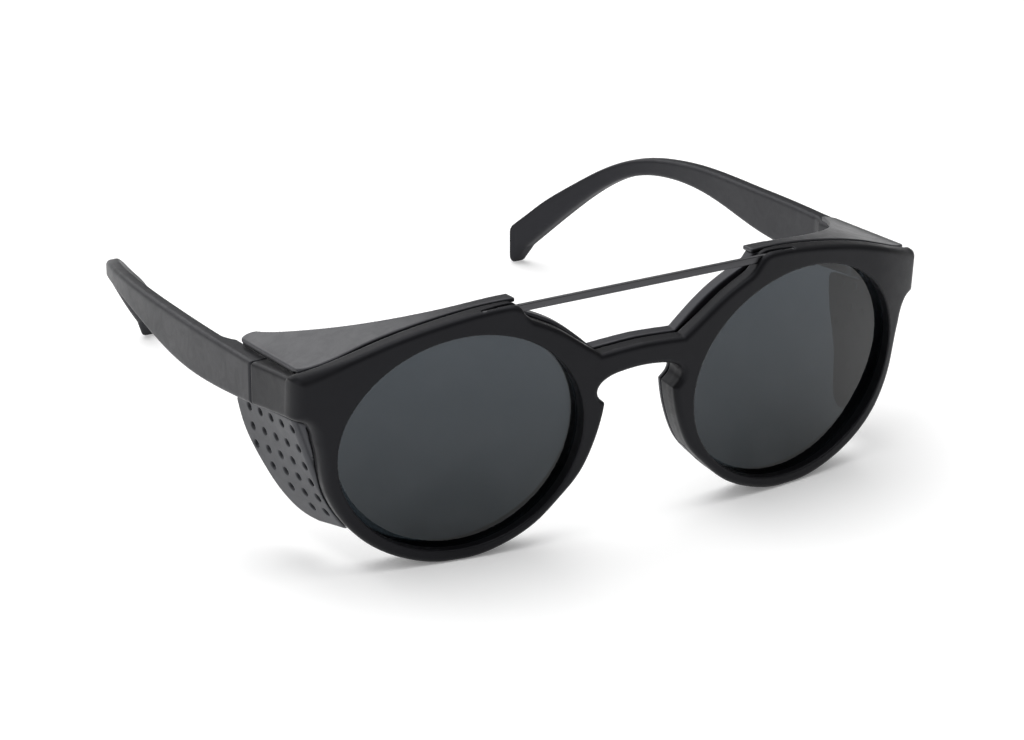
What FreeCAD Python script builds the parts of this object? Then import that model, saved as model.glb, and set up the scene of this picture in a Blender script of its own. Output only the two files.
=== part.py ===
import FreeCAD, Part
import math
import os

# Glacier glasses, in millimetres. +Z is up, the wearer looks along -Y, and the wearer's right
# is -X. The model is drawn in a design frame whose Y = 0 lies just behind the lenses, and is
# moved along Y when it is written, so that the origin is under the middle of the whole object.
V = FreeCAD.Vector

# lenses and the openings they show through
LENS_X = 37.3
LENS_Z = 25.95
LENS_HALF_WIDTH = 24.8
LENS_HALF_HEIGHT = 23.3
LENS_THICKNESS = 1.5
LENS_RADIUS_ACROSS = 130.0
LENS_RADIUS_UP = 400.0
LENS_DEPTH = 1.3
BEVEL = 0.6
GROOVE_CLEARANCE = 0.05

# front surface: a wide arc in plan, tighter at the ends, leaning forward at the top
FRONT_Y = -4.8
CENTRE_RADIUS = 290.0
END_RADIUS = 40.0
END_START = 56.0
END_ANGLE = 43.9
TILT = 5.5

# depths behind the front surface, and the insert that wraps the front's stepped rear
BAND_DEPTH = 3.5
FRAME_DEPTH = 5.9
INSERT_DEPTH = 7.2
BAND_GAP = 0.8
JOINT_GAP = 0.4
CORE_WIDTH = 1.38
CORE_HEAD = [(0.0, 39.7), (9.0, 39.1), (14.0, 42.5), (18.0, 45.2), (22.8, 48.0), (26.9, 51.3),
             (29.0, 52.05), (40.0, 50.85), (48.0, 49.1), (56.0, 46.6), (61.9, 44.2), (61.9, 30.0),
             (14.0, 30.0), (9.2, 35.0), (7.2, 37.2), (0.0, 37.2)]
RIM_WIDTH = 2.65
RIM_SIDE_WIDTH = 2.25
RIM_SHIFT = 0.5
REST_HALF = 1.6

# end pieces
HALF_WIDTH = 71.0
FRONT_HALF_WIDTH = 70.0
SEAM_Y = 22.6
SEAM_GAP = 0.15
WALL = 4.3
CORNER_X = 63.7
INSERT_SIDE_X = 63.2
SHELF_Z = 32.0
END_TOP = 42.6
END_BOTTOM = 34.0
END_FRONT_Y = 8.0
TOP_SLOPE = 0.14
BOTTOM_SLOPE = 0.17

# hinges
AXIS_X = 65.9
AXIS_Y = 22.6
AXIS_Z = 35.8
KNUCKLE_RADIUS = 1.35
KNUCKLE_HEIGHT = 2.0
KNUCKLE_GAP = 0.06
RELIEF = 0.35
SCREW_RADIUS = 0.7
SCREW_HEAD_RADIUS = 1.15
SCREW_HEAD_HEIGHT = 0.6
SLOT_WIDTH = 0.4
RUNNING = 0.05
FIXED = 0.02
LEAF_X = 66.7
LEAF_THICKNESS = 0.9
LEAF_HEIGHT = 5.0
LEAF_LENGTH = 8.0
FRONT_LEAF_Y = AXIS_Y - KNUCKLE_RADIUS - RELIEF - LEAF_LENGTH
TEMPLE_LEAF_Y = AXIS_Y + KNUCKLE_RADIUS + RELIEF
LEAF_SCREW_RADIUS = 0.55
LEAF_SCREW_LENGTH = 2.6
LEAF_HEAD_RADIUS = 1.0
LEAF_HEAD_HEIGHT = 0.35

# temples: distance back, outer face, top and bottom at each station
HUMP_INNER = 66.7
HUMP_REAR_Y = 40.5
TEMPLE_THICKNESS = 3.0
CORE_THICKNESS = 1.0
CORE_HEIGHT = 2.0
STATIONS = [
    (SEAM_Y + SEAM_GAP, 71.0, 40.6, 31.5),
    (40.0, 71.1, 38.8, 28.6),
    (54.0, 71.1, 37.5, 27.2),
    (66.0, 70.8, 36.3, 27.2),
    (80.0, 70.3, 35.0, 28.4),
    (90.0, 69.4, 33.9, 28.8),
    (98.0, 68.1, 32.6, 28.3),
    (105.0, 66.3, 31.0, 27.0),
    (110.0, 64.4, 29.2, 25.1),
    (116.0, 61.2, 25.7, 20.9),
    (122.0, 57.0, 20.7, 14.6),
    (127.0, 52.8, 15.8, 8.3),
    (130.0, 50.0, 12.1, 4.3),
]
TIP = (45.9, 134.3)

# brow bar
BAR_HALF_LENGTH = 34.5
BAR_FRONT_Y = -4.7
BAR_THICKNESS = 0.8
BAR_BOTTOM = 52.25
BAR_HEIGHT = 1.6
BAR_CLEARANCE = 0.03
PIN_X = 32.0
PIN_RADIUS = 0.35
PIN_LENGTH = 3.2

# top shields
SHIELD_THICKNESS = 1.0
SHIELD_SIDE_X = 68.1
SHIELD_SLOPE = 0.12
SHIELD_REAR_Y = 34.0

# perforated side shields: outer points (x, z) at the front, a far section behind, and holes
PANEL_THICKNESS = 1.1
FLANGE_WIDTH = 7.0
PANEL_FRONT = [(54.6, 4.5), (60.6, 12.4), (64.6, 21.0), (67.4, 29.0), (69.2, 34.5)]
PANEL_REAR_X = 69.5
PANEL_FRONT_Y = 4.0
PANEL_FAR_Y = 50.0
FLANGE_DEPTH = 1.6
FLANGE_FOOT_Z = 14.0
HOLE_RADIUS = 0.85
HOLE_FIRST_Y = 9.9
HOLE_PITCH_Y = 4.8
HOLE_SLOPE = 0.14
HOLE_ROWS = [(30.9, 5), (26.6, 5), (22.6, 5), (18.9, 4), (15.3, 3), (11.9, 2)]

# the origin's place along the design frame's Y
MID_Y = 64.0

FAR = 90.0
OVERLAP = 0.02


def lean(z):
    """How far the front surface moves along Y at height z."""
    return -(z - LENS_Z) * math.tan(math.radians(TILT))


def end_arc_centre():
    """Plan centre of the tighter arc at the +X end, and the angle at which it starts."""
    start = math.asin(END_START / CENTRE_RADIUS)
    x = END_START - END_RADIUS * math.sin(start)
    y = CENTRE_RADIUS - (CENTRE_RADIUS - END_RADIUS) * math.cos(start)
    return x, y, math.degrees(start)


def front_y(x, z):
    """Y of the front surface."""
    x = abs(x)
    cx, cy, start = end_arc_centre()
    if x <= END_START:
        y = CENTRE_RADIUS - math.sqrt(CENTRE_RADIUS ** 2 - x ** 2)
    else:
        y = cy - math.sqrt(END_RADIUS ** 2 - (x - cx) ** 2)
    return FRONT_Y + y + lean(z)


def plan_points(depth):
    """Seven plan points of the front surface moved back, from -X to +X."""
    cx, cy, start = end_arc_centre()
    y0 = FRONT_Y + depth
    right = []
    for angle in (start, (start + END_ANGLE) / 2, END_ANGLE):
        a = math.radians(angle)
        right.append((cx + END_RADIUS * math.sin(a), y0 + cy - END_RADIUS * math.cos(a)))
    left = [(-x, y) for x, y in reversed(right)]
    return left + [(0.0, y0)] + right


def layer(near, far):
    """The space between the front surface moved back by near and by far."""
    z0, rise = -12.0, 80.0
    edges = []
    ends = []
    for depth in (near, far):
        p = [V(x, y + lean(z0), z0) for x, y in plan_points(depth)]
        for i in (0, 2, 4):
            edges.append(Part.Arc(p[i], p[i + 1], p[i + 2]).toShape())
        ends.append((p[0], p[6]))
    edges += [Part.makeLine(ends[0][i], ends[1][i]) for i in (0, 1)]
    face = Part.Face(Part.Wire(Part.__sortEdges__(edges)))
    return face.extrude(V(0, lean(z0 + rise) - lean(z0), rise))


def curve(points, start=None, end=None):
    """A smooth edge through 3-D points, with optional end directions."""
    spline = Part.BSplineCurve()
    if start:
        spline.interpolate(Points=points, InitialTangent=start, FinalTangent=end)
    else:
        spline.interpolate(points)
    return spline.toShape()


def spline(points, start=None, end=None):
    """A smooth edge in the XZ plane."""
    ends = [V(d[0], 0, d[1]) if d else None for d in (start, end)]
    return curve([V(x, 0, z) for x, z in points], *ends)


def line(a, b):
    """A straight edge in the XZ plane."""
    return Part.makeLine(V(a[0], 0, a[1]), V(b[0], 0, b[1]))


def rim_point(angle):
    """A point on the rim's outer edge, at an angle from straight down towards the side."""
    a = math.radians(angle)
    side = LENS_HALF_WIDTH + RIM_SIDE_WIDTH
    height = LENS_HALF_HEIGHT + RIM_WIDTH
    return (LENS_X + RIM_SHIFT + side * math.sin(a), LENS_Z - height * math.cos(a))


RIM_SIDE = [(65.8, 29.0)] + [rim_point(a) for a in (75, 55, 38, 20)]
RIM_NOSE = [rim_point(a) for a in (-20, -38, -52)] + [(12.5, 14.6), (10.0, 19.8), (8.3, 25.6), (7.7, 29.3)]
BROW = [(29.0, 54.35), (40.0, 53.15), (48.0, 51.4), (56.0, 48.9), (63.0, 46.0), (69.0, 43.5)]
STEP_FOOT = (23.2, 49.9)
INSERT_PROUD = 0.6
WINDOW_GROWTH = 0.3


def mirrored(shape):
    return shape.mirror(V(0, 0, 0), V(1, 0, 0))


def closed_face(half):
    """The face bounded by a chain of edges on the +X side and its mirror image."""
    edges = half + [mirrored(e) for e in half]
    return Part.Face(Part.Wire(Part.__sortEdges__(edges)))


def lower_half():
    """The lower outline: the rim, its flat rest, the nose side, the notch and the bridge's underside."""
    outer = (LENS_X + RIM_SHIFT + REST_HALF, 0.0)
    inner = (LENS_X + RIM_SHIFT - REST_HALF, 0.0)
    notch = [RIM_NOSE[-1], (9.3, 31.2), (9.3, 32.9), (7.6, 34.6), (4.0, 35.6), (0.0, 35.9)]
    return [
        spline(RIM_SIDE + [outer], (-0.3, -1), (-1, 0)),
        line(outer, inner),
        spline([inner] + RIM_NOSE, (-1, 0), (-0.1, 1)),
        spline(notch, (1, 1), (-1, 0)),
    ]


def bridge_half(proud=0.0):
    """The bridge's top, the rim's upper edge and the step to the brow; proud lifts the rim's edge."""
    valley = (9.3, 40.4)
    rise = (14.3 - proud / 2, 44.2 + proud)
    crest = (18.8 - proud / 2, 47.5 + proud)
    foot = (STEP_FOOT[0], STEP_FOOT[1] + proud)
    return [
        spline([(0.0, 41.0), (5.0, 40.75), valley]),
        spline([valley, rise, crest, foot]),
        spline([foot, (25.6, 51.8), (26.9, 53.5), BROW[0]], (1, 0.45), (1, 0)),
    ]


def front_outline(proud=0.0):
    corner = (FRONT_HALF_WIDTH, 42.8)
    foot = (FRONT_HALF_WIDTH, END_BOTTOM + 0.9)
    under = [foot, (69.2, END_BOTTOM), (67.6, 33.5), (66.5, 32.0), RIM_SIDE[0]]
    half = bridge_half(proud) + [
        spline(BROW, (1, 0), (1, -0.35)),
        line(BROW[-1], corner),
        line(corner, foot),
        spline(under, (0, -1), (-0.1, -1)),
    ]
    return closed_face(half + lower_half())


def through(face):
    """A bar along Y with the face's outline."""
    bar = face.extrude(V(0, 2 * FAR, 0))
    bar.translate(V(0, -FAR, 0))
    return bar


def brow_cap(drop):
    """Everything above the +X brow line lowered by drop, as a bar along Y."""
    line_points = [(x, z - drop) for x, z in [(STEP_FOOT[0], BROW[0][1])] + BROW]
    first, last = line_points[0], line_points[-1]
    edges = [spline(line_points), line(last, (FAR, last[1])), line((FAR, last[1]), (FAR, FAR)),
             line((FAR, FAR), (first[0], FAR)), line((first[0], FAR), first)]
    return through(Part.Face(Part.Wire(Part.__sortEdges__(edges))))


def rear_bar():
    """The insert's outline as a bar: the front's, less the top shields and end pieces."""
    bar = through(front_outline(INSERT_PROUD))
    cap = brow_cap(SHIELD_THICKNESS + OVERLAP)
    side = box((INSERT_SIDE_X, FAR), (-FAR, FAR), (SHELF_Z, FAR))
    tools = [cap, mirrored(cap), side, mirrored(side)]
    return bar.cut(Part.makeCompound(tools))


def core_bar(grow):
    """The front's stepped rear, grown: a ring about each lens, and a head under the brow."""
    points = CORE_HEAD + [(-x, z) for x, z in reversed(CORE_HEAD) if x > 0]
    outline = Part.makePolygon([V(x, 0, z) for x, z in points + points[:1]])
    if grow:
        outline = outline.makeOffset2D(grow, 2)
    ring = lens_bar(CORE_WIDTH + grow)
    return union([through(Part.Face(outline)), ring, mirrored(ring)])


def union(solids):
    return solids[0].multiFuse(solids[1:]).removeSplitter()


def box(x, y, z):
    """A box from three (low, high) pairs."""
    solid = Part.makeBox(x[1] - x[0], y[1] - y[0], z[1] - z[0])
    solid.translate(V(x[0], y[0], z[0]))
    return solid


def upright(x, y, z, radius, height):
    """A cylinder standing on z."""
    return Part.makeCylinder(radius, height, V(x, y, z), V(0, 0, 1))


def lens_bar(grow):
    """The +X lens opening, grown, as a bar along Y."""
    centre = V(LENS_X, 0, LENS_Z)
    major = centre + V(LENS_HALF_WIDTH + grow, 0, 0)
    minor = centre + V(0, 0, LENS_HALF_HEIGHT + grow)
    return through(Part.Face(Part.Wire(Part.Ellipse(major, minor, centre).toShape())))


def lens_blank(clearance):
    """A toric shell, tighter across than up, set behind the front surface at the lens."""
    reach = 28.0
    front = [V(0, (z ** 2) / (2 * LENS_RADIUS_UP) - clearance, z) for z in (-reach, 0, reach)]
    rear = [p + V(0, LENS_THICKNESS + 2 * clearance, 0) for p in front]
    edges = [Part.Arc(*front).toShape(), Part.makeLine(front[2], rear[2]),
             Part.Arc(*reversed(rear)).toShape(), Part.makeLine(rear[0], front[0])]
    profile = Part.Face(Part.Wire(edges))
    half_angle = 20.0
    axis = V(0, LENS_RADIUS_ACROSS, 0)
    profile.rotate(axis, V(0, 0, 1), -half_angle)
    shell = profile.revolve(axis, V(0, 0, 1), 2 * half_angle)
    wrap = math.degrees(math.asin(LENS_X / CENTRE_RADIUS))
    shell.rotate(V(0, 0, 0), V(1, 0, 0), TILT)
    shell.rotate(V(0, 0, 0), V(0, 0, 1), wrap)
    shell.translate(V(LENS_X, front_y(LENS_X, LENS_Z) + LENS_DEPTH, LENS_Z))
    return shell


def lens():
    return lens_bar(BEVEL).common(lens_blank(0.0))


def lens_opening():
    """What the front and its groove leave free for the +X lens."""
    groove = lens_bar(BEVEL + GROOVE_CLEARANCE).common(lens_blank(GROOVE_CLEARANCE))
    return lens_bar(0.0).fuse(groove)


def end_side_profile(rear):
    """The end piece seen from the side, as a bar along X."""
    near = 2.0
    tops = [V(0, y, END_TOP - TOP_SLOPE * (y - END_FRONT_Y)) for y in (near, rear)]
    feet = [V(0, y, END_BOTTOM - BOTTOM_SLOPE * (y - END_FRONT_Y)) for y in (rear, near)]
    return Part.Face(Part.makePolygon(tops + feet + [tops[0]])).extrude(V(FAR, 0, 0))


def end_block():
    """The +X end piece: a corner behind the band and a side wall back to the temple."""
    side = end_side_profile(SEAM_Y - SEAM_GAP / 2)
    corner = box((CORNER_X, FRONT_HALF_WIDTH), (0, FAR), (30, 50))
    corner = corner.common(layer(BAND_DEPTH / 2, FRAME_DEPTH))
    slope = (HALF_WIDTH - FRONT_HALF_WIDTH) / (SEAM_Y - END_FRONT_Y)
    plan = [(HALF_WIDTH - WALL, END_FRONT_Y), (FRONT_HALF_WIDTH, END_FRONT_Y),
            (HALF_WIDTH + slope, SEAM_Y + 1.0), (HALF_WIDTH - WALL, SEAM_Y + 1.0)]
    wall = Part.Face(Part.makePolygon([V(x, y, 0) for x, y in plan + plan[:1]])).extrude(V(0, 0, FAR))
    return side.common(corner.fuse(wall)).common(layer(BAND_DEPTH / 2, FAR))


def nose_zone(grow):
    """The space about the nose sides, where the front keeps its full outline to its rear."""
    reach = 13.0 + grow
    return box((-reach, reach), (-FAR, FAR), (10.0 - grow, 38.0 + grow))


def bar_blank(clearance):
    end = BAR_HALF_LENGTH + clearance
    rear = BAR_FRONT_Y + BAR_THICKNESS
    return box((-end, end), (BAR_FRONT_Y - clearance, rear + clearance),
               (BAR_BOTTOM - clearance, BAR_BOTTOM + BAR_HEIGHT + clearance))


def bar_slots(top):
    """The bar's slots in the brow, open at the top."""
    end = BAR_HALF_LENGTH + BAR_CLEARANCE
    rear = BAR_FRONT_Y + BAR_THICKNESS + BAR_CLEARANCE
    return box((-end, end), (BAR_FRONT_Y - BAR_CLEARANCE, rear), (BAR_BOTTOM - BAR_CLEARANCE, top))


def pins(radius):
    """Two short cross pins that hold the bar's ends, entered from behind the brow."""
    front = BAR_FRONT_Y - 0.1
    middle = BAR_BOTTOM + BAR_HEIGHT / 2
    return [Part.makeCylinder(radius, PIN_LENGTH, V(side * PIN_X, front, middle), V(0, 1, 0))
            for side in (-1, 1)]


def front_frame():
    outline = front_outline()
    band = through(outline).common(layer(0, BAND_DEPTH))
    core = core_bar(0).common(layer(BAND_DEPTH - OVERLAP, FRAME_DEPTH))
    nose = through(outline).common(nose_zone(0)).common(layer(BAND_DEPTH - OVERLAP, FRAME_DEPTH))
    block = end_block()
    body = union([band, core, nose, block, mirrored(block)])
    opening = lens_opening()
    tools = [opening, mirrored(opening), bar_slots(60.0)] + pins(PIN_RADIUS)
    for side in (1, -1):
        tools += [on_side(tool, side) for tool in front_hinge_pockets()]
    return body.cut(Part.makeCompound(tools))


def brow_bar():
    return bar_blank(0.0).cut(Part.makeCompound(pins(PIN_RADIUS)))


def brow_pins():
    return Part.makeCompound(pins(PIN_RADIUS))


def shield_insert():
    """A thin rear frame: a lip that wraps the front's stepped rear, and a plate behind it."""
    near = BAND_DEPTH + BAND_GAP
    plate_depth = FRAME_DEPTH + JOINT_GAP / 2
    shell = rear_bar().common(layer(near, INSERT_DEPTH))
    hollow = core_bar(JOINT_GAP).common(layer(0, plate_depth))
    nose = nose_zone(JOINT_GAP).common(layer(0, plate_depth))
    windows = [lens_bar(WINDOW_GROWTH), mirrored(lens_bar(WINDOW_GROWTH))]
    seats = [top_shield(), mirrored(top_shield())]
    for seat in seats:
        seat.translate(V(0, 0, -OVERLAP))
    return shell.cut(hollow).cut(nose).cut(Part.makeCompound(windows)).cut(Part.makeCompound(seats))


def shield_plan():
    """The +X top shield from above: along the brow, back beside the temple, and a hollow rear edge."""
    start = BAND_DEPTH + BAND_GAP
    inner = 26.3
    front = [(x, front_y(x, z) + start) for x, z in [(inner, 54.0)] + BROW[:5]]
    front.append((66.0, front_y(66.0, 44.6) + start))
    corner = (SHIELD_SIDE_X, front[-1][1] + 2.2)
    rear_out = (SHIELD_SIDE_X, SHIELD_REAR_Y - 1.5)
    rear_mid = (66.3, SHIELD_REAR_Y)
    rear_in = (64.6, SHIELD_REAR_Y - 1.2)
    hollow = [rear_in, (61.0, 24.8), (54.5, 14.6), (46.0, 6.6), (36.0, 2.2), (inner, 1.6)]
    flat = [V(x, y, 0) for x, y in front]
    edges = [
        curve(flat),
        curve([flat[-1], V(*corner, 0)], V(1, 0.5, 0), V(0, 1, 0)),
        Part.makeLine(V(*corner, 0), V(*rear_out, 0)),
        curve([V(*rear_out, 0), V(*rear_mid, 0)], V(0, 1, 0), V(-1, 0, 0)),
        curve([V(*rear_mid, 0), V(*rear_in, 0)], V(-1, 0, 0), V(-0.3, -1, 0)),
        curve([V(x, y, 0) for x, y in hollow], V(-0.3, -1, 0), V(-1, 0, 0)),
        Part.makeLine(V(hollow[-1][0], hollow[-1][1], 0), flat[0]),
    ]
    face = Part.Face(Part.Wire(Part.__sortEdges__(edges)))
    return face.extrude(V(0, 0, FAR))


def top_shield():
    """The +X top shield: the brow's line carried back and down over the temple."""
    brow = [(24.0, 54.3)] + BROW[:5] + [(67.0, 44.45), (72.0, 43.6)]
    seat = BAND_DEPTH + BAND_GAP
    upper = [(x, z + SHIELD_SLOPE * (front_y(x, z) + seat)) for x, z in brow]
    lower = [(x, z - SHIELD_THICKNESS) for x, z in reversed(upper)]
    edges = [spline(upper), line(upper[-1], lower[0]), spline(lower), line(lower[-1], upper[0])]
    near, length = -8.0, SHIELD_REAR_Y + 15.0
    slab = Part.Face(Part.Wire(edges))
    slab.translate(V(0, near, -near * SHIELD_SLOPE))
    return slab.extrude(V(0, length, -length * SHIELD_SLOPE)).common(shield_plan())


def on_side(shape, side):
    return shape if side > 0 else mirrored(shape)


def screw_axis(y):
    """Places along the hinge plates where their screws sit, from the plate's near end."""
    return [y + LEAF_LENGTH * share for share in (0.3, 0.75)]


def leaf_screws(near):
    """Two screws through a +X hinge plate into the wall outboard of it."""
    solids = []
    face = LEAF_X - LEAF_THICKNESS
    for y in screw_axis(near):
        shank = Part.makeCylinder(LEAF_SCREW_RADIUS, LEAF_SCREW_LENGTH, V(face, y, AXIS_Z), V(1, 0, 0))
        head = Part.makeCylinder(LEAF_HEAD_RADIUS, LEAF_HEAD_HEIGHT,
                                 V(face - LEAF_HEAD_HEIGHT, y, AXIS_Z), V(1, 0, 0))
        solids.append(shank.fuse(head).removeSplitter())
    return solids


def leaf_screw_holes(near):
    face = LEAF_X - LEAF_THICKNESS
    radius = LEAF_SCREW_RADIUS + FIXED
    return [Part.makeCylinder(radius, LEAF_SCREW_LENGTH + FIXED, V(face, y, AXIS_Z), V(1, 0, 0))
            for y in screw_axis(near)]


def knuckle_levels():
    """Bottom of each of the three knuckles."""
    pitch = KNUCKLE_HEIGHT + KNUCKLE_GAP
    return [AXIS_Z - KNUCKLE_HEIGHT / 2 + k * pitch for k in (-1, 0, 1)]


def hinge_leaf(levels, way, near, bore):
    """A hinge plate and its knuckles; way is -1 forward of the axis and +1 behind it."""
    face = LEAF_X - LEAF_THICKNESS
    clear = KNUCKLE_RADIUS + RELIEF
    root = AXIS_Y + way * clear
    solids = [box((face, LEAF_X), (near, near + LEAF_LENGTH),
                  (AXIS_Z - LEAF_HEIGHT / 2, AXIS_Z + LEAF_HEIGHT / 2))]
    for z in levels:
        y = sorted((AXIS_Y, root + way * OVERLAP))
        solids.append(upright(AXIS_X, AXIS_Y, z, KNUCKLE_RADIUS, KNUCKLE_HEIGHT))
        solids.append(box((face, LEAF_X), y, (z, z + KNUCKLE_HEIGHT)))
    low = AXIS_Z - 4 * KNUCKLE_HEIGHT
    tools = [upright(AXIS_X, AXIS_Y, low, bore, 8 * KNUCKLE_HEIGHT)] + leaf_screw_holes(near)
    return union(solids).cut(Part.makeCompound(tools))


def front_leaf():
    levels = knuckle_levels()
    return hinge_leaf([levels[0], levels[2]], -1, FRONT_LEAF_Y, SCREW_RADIUS + FIXED)


def temple_leaf():
    return hinge_leaf([knuckle_levels()[1]], 1, TEMPLE_LEAF_Y, SCREW_RADIUS + RUNNING)


def hinge_screw():
    levels = knuckle_levels()
    top = levels[2] + KNUCKLE_HEIGHT
    shank = upright(AXIS_X, AXIS_Y, levels[0], SCREW_RADIUS, top - levels[0])
    head = upright(AXIS_X, AXIS_Y, top, SCREW_HEAD_RADIUS, SCREW_HEAD_HEIGHT)
    slot = box((AXIS_X - 2, AXIS_X + 2), (AXIS_Y - SLOT_WIDTH / 2, AXIS_Y + SLOT_WIDTH / 2),
               (top + SCREW_HEAD_HEIGHT / 2, top + 2))
    return shank.fuse(head).removeSplitter().cut(slot)


def barrel_relief():
    """Room about the hinge barrel in the walls at its side."""
    levels = knuckle_levels()
    low = levels[0] - RELIEF
    top = levels[2] + KNUCKLE_HEIGHT + SCREW_HEAD_HEIGHT + RELIEF
    return upright(AXIS_X, AXIS_Y, low, KNUCKLE_RADIUS + RELIEF, top - low)


def front_hinge_pockets():
    return [barrel_relief()] + leaf_screw_holes(FRONT_LEAF_Y)


def plan_offset(by):
    """Plan points of the temple, moved inward from its outer face."""
    outer = [(HALF_WIDTH, AXIS_Y - 4.0)] + [(x, y) for y, x, _, _ in STATIONS] + [TIP]
    moved = []
    for i, (x, y) in enumerate(outer):
        x0, y0 = outer[max(i - 1, 0)]
        x1, y1 = outer[min(i + 1, len(outer) - 1)]
        length = math.hypot(x1 - x0, y1 - y0)
        moved.append(V(x - by * (y1 - y0) / length, y + by * (x1 - x0) / length, 0))
    return moved


def temple_plan(near, far):
    """A strip along the temple between two depths inward from its outer face, as an upright bar."""
    outer, inner = plan_offset(near), plan_offset(far)
    edges = [curve(outer), Part.makeLine(outer[-1], inner[-1]),
             curve(inner), Part.makeLine(inner[0], outer[0])]
    return Part.Face(Part.Wire(Part.__sortEdges__(edges))).extrude(V(0, 0, FAR))


def temple_side():
    """The temple seen from the side, as a bar along X."""
    tops = [V(0, y, z) for y, _, z, _ in STATIONS] + [V(0, 133.0, 8.3), V(0, TIP[1] + 0.2, 6.0)]
    lows = [V(0, y, z) for y, _, _, z in STATIONS]
    toe = V(0, 132.0, 0)
    edges = [
        curve(tops),
        Part.Arc(tops[-1], V(0, 133.9, 2.7), toe).toShape(),
        Part.makeLine(toe, lows[-1]),
        curve(lows),
        Part.makeLine(lows[0], tops[0]),
    ]
    return Part.Face(Part.Wire(Part.__sortEdges__(edges))).extrude(V(FAR, 0, 0))


def temple_core():
    """A flat metal stiffener along the middle of the temple."""
    rows = [(y, (top + low) / 2) for y, _, top, low in STATIONS[2:-1]]
    upper = [V(0, y, z + CORE_HEIGHT / 2) for y, z in rows]
    lower = [V(0, y, z - CORE_HEIGHT / 2) for y, z in rows]
    edges = [curve(upper), Part.makeLine(upper[-1], lower[-1]),
             curve(lower), Part.makeLine(lower[0], upper[0])]
    side = Part.Face(Part.Wire(Part.__sortEdges__(edges))).extrude(V(FAR, 0, 0))
    middle = TEMPLE_THICKNESS / 2
    strip = temple_plan(middle - CORE_THICKNESS / 2, middle + CORE_THICKNESS / 2)
    return strip.common(side)


def temple():
    before = AXIS_Y - 3.0
    hump = [V(HUMP_INNER, before, 0), V(HUMP_INNER, HUMP_REAR_Y - 2.5, 0), V(69.0, HUMP_REAR_Y, 0),
            V(70.0, HUMP_REAR_Y, 0), V(70.0, before, 0), V(HUMP_INNER, before, 0)]
    block = Part.Face(Part.makePolygon(hump)).extrude(V(0, 0, FAR))
    body = temple_plan(0, TEMPLE_THICKNESS).fuse(block).common(temple_side()).removeSplitter()
    tools = [barrel_relief(), temple_core()] + leaf_screw_holes(TEMPLE_LEAF_Y)
    return body.cut(Part.makeCompound(tools))


def panel_section(points, y, thickness):
    """A strip inboard of a line of outer points at one Y."""
    outer = [V(x, y, z) for x, z in points]
    inner = [p - V(thickness, 0, 0) for p in outer]
    edges = [curve(outer), Part.makeLine(outer[-1], inner[-1]),
             curve(inner), Part.makeLine(inner[0], outer[0])]
    return Part.Wire(Part.__sortEdges__(edges))


def panel_outline():
    """The side shield seen from the side, as a bar along X."""
    top_front, top_rear = V(0, 3.0, 34.4), V(0, 33.4, 28.9)
    rear = [V(0, 34.6, 27.6), V(0, 33.2, 22.8), V(0, 28.2, 15.6), V(0, 24.2, 10.4)]
    foot = [V(0, 20.5, 7.5), V(0, 16.0, 6.9), V(0, 3.0, 9.8)]
    edges = [
        Part.makeLine(top_front, top_rear),
        Part.makeLine(top_rear, rear[0]),
        curve(rear + foot[:2]),
        Part.makeLine(foot[1], foot[2]),
        Part.makeLine(foot[2], top_front),
    ]
    return Part.Face(Part.Wire(Part.__sortEdges__(edges))).extrude(V(FAR, 0, 0))


def panel_holes():
    """Rows of ventilation holes across the side shield."""
    holes = []
    for height, count in HOLE_ROWS:
        for k in range(count):
            y = HOLE_FIRST_Y + k * HOLE_PITCH_Y
            z = height - HOLE_SLOPE * k * HOLE_PITCH_Y
            holes.append(Part.makeCylinder(HOLE_RADIUS, 30.0, V(50.0, y, z), V(1, 0, 0)))
    return holes


def panel(thickness):
    """The +X side shield without its holes, as thick as asked for."""
    rear = [(PANEL_REAR_X, z) for _, z in PANEL_FRONT]
    sections = [panel_section(PANEL_FRONT, PANEL_FRONT_Y, thickness),
                panel_section(rear, PANEL_FAR_Y, thickness)]
    return Part.makeLoft(sections, True, True).common(panel_outline())


def side_shield():
    """The +X side shield: a ruled panel, with a flange out of the insert's side at its front."""
    start = BAND_DEPTH + BAND_GAP
    holed = panel(PANEL_THICKNESS).common(layer(start, FAR)).cut(Part.makeCompound(panel_holes()))
    room = box((0, FAR), (-FAR, FAR), (FLANGE_FOOT_Z, SHELF_Z - OVERLAP))
    flange = panel(FLANGE_WIDTH).common(layer(start, start + FLANGE_DEPTH)).common(room)
    insert = rear_bar().common(layer(0, INSERT_DEPTH))
    return holed.fuse(flange).removeSplitter().cut(insert)


def nodes():
    """Every piece by name: centre pieces, then the +X pieces and their mirror images."""
    pieces = {
        "front_frame": front_frame(),
        "brow_bar": brow_bar(),
        "brow_bar_pins": brow_pins(),
        "shield_insert": shield_insert(),
    }
    screws = leaf_screws(FRONT_LEAF_Y)
    pieces["front_leaf_screws"] = Part.makeCompound(screws + [mirrored(s) for s in screws])
    paired = {
        "lens": lens(),
        "top_shield": top_shield(),
        "side_shield": side_shield(),
        "hinge_front_leaf": front_leaf(),
        "hinge_temple_leaf": temple_leaf(),
        "hinge_screw": hinge_screw(),
        "temple": temple(),
        "temple_core": temple_core(),
        "temple_leaf_screws": Part.makeCompound(leaf_screws(TEMPLE_LEAF_Y)),
    }
    for name, shape in paired.items():
        pieces[name + "_left"] = shape
        pieces[name + "_right"] = mirrored(shape)
    return pieces


os.makedirs("parts", exist_ok=True)
for name, shape in nodes().items():
    shape.translate(V(0, -MID_Y, 0))
    shape.exportStep("parts/" + name + ".step")
    b = shape.BoundBox
    print("%-24s valid %s solids %d  x %.2f %.2f  y %.2f %.2f  z %.2f %.2f" % (
        name, shape.isValid(), len(shape.Solids), b.XMin, b.XMax, b.YMin, b.YMax, b.ZMin, b.ZMax))
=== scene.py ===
import math

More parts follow.
